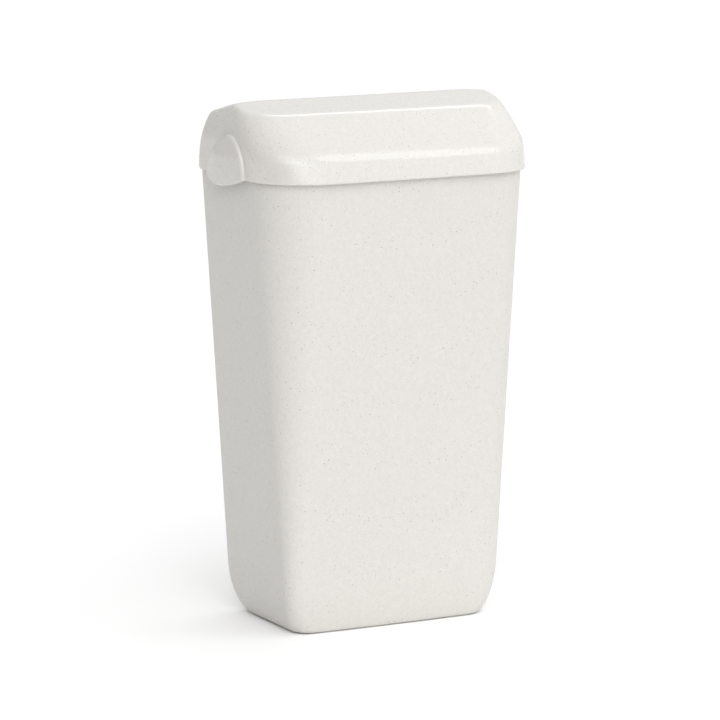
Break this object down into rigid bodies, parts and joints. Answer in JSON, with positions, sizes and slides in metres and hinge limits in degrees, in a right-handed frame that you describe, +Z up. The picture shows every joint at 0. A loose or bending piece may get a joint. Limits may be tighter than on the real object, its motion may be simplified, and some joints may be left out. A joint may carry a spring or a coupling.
{
  "type": "waste bin",
  "caption": "Tapered plastic waste bin with a flip-up hood on side pivots, a wire bag ring inside and a recessed wall bracket.",
  "frame": {"origin": "middle of the footprint box, on the floor plane under the feet", "axes": "+Z up, -Y towards the bin's front, +Y towards the wall, +X to the right seen from the front"},
  "size_m": [0.35, 0.1976, 0.5826],
  "materials": {
    "tub_plastic": "satin off-white with fine dark specks",
    "hood_plastic": "polished off-white with fine dark specks",
    "nylon": "moulded black nylon",
    "steel": "bright zinc-plated steel",
    "wire": "drawn and plated wire",
    "bracket_steel": "galvanised sheet",
    "brass": "turned brass",
    "rubber": "moulded rubber"
  },
  "bodies": {
    "bin": {"tub": "tub_plastic", "pivot_pin_left": "steel", "pivot_pin_right": "steel", "pin_clip_left": "steel", "pin_clip_right": "steel", "wall_bracket": "bracket_steel", "lock_nut": "brass", "lock_washer": "steel", "lock_screw": "steel", "foot_front_left": "rubber", "foot_front_right": "rubber", "foot_rear_left": "rubber", "foot_rear_right": "rubber"},
    "lid": {"hood": "hood_plastic", "hinge_cover_left": "hood_plastic", "hinge_cover_right": "hood_plastic", "pivot_bush_left": "nylon", "pivot_bush_right": "nylon", "hood_buffer_left": "rubber", "hood_buffer_right": "rubber"},
    "ring": {"bag_ring": "wire"}
  },
  "joints": [
    {"name": "hood_hinge", "type": "hinge", "parent": "bin", "child": "lid", "pos_m": [0, 0.01275, 0.514], "axis": [-1, 0, 0], "range_deg": [0, 38]},
    {"name": "ring_hinge", "type": "hinge", "parent": "bin", "child": "ring", "pos_m": [0, 0.08625, 0.494], "axis": [-1, 0, 0], "range_deg": [0, 12]}
  ]
}
